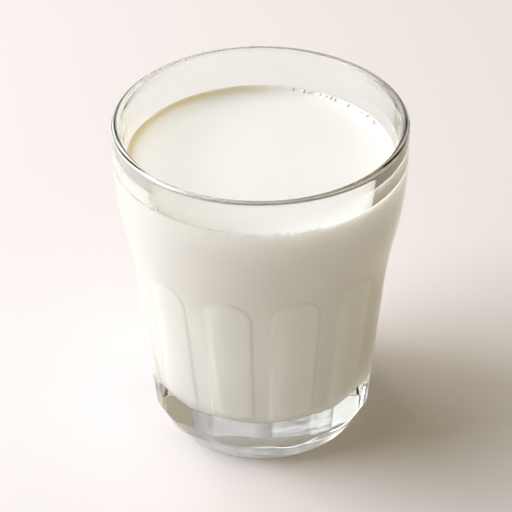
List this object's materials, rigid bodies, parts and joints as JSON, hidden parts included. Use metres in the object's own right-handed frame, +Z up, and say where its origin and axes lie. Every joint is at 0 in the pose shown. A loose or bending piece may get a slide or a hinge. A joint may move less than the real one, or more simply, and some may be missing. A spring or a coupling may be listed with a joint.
{
  "type": "glass of milk",
  "caption": "Clear pressed tumbler with arched flutes round its lower side and a thick base, filled with milk to just below the rim.",
  "frame": {"origin": "centre of the foot's underside, on the table", "axes": "+Z up along the glass's own axis; -Y is the front, where a rib between two flutes faces"},
  "size_m": [0.0842, 0.0842, 0.1],
  "materials": {
    "tumbler_glass": "clear, smooth, fire-polished pressed soda-lime glass with a faint green tint in its thick parts",
    "milk": "opaque warm white liquid with a wet, softly glossy surface"
  },
  "bodies": {
    "root": {"tumbler": "tumbler_glass", "milk": "milk"}
  },
  "joints": []
}
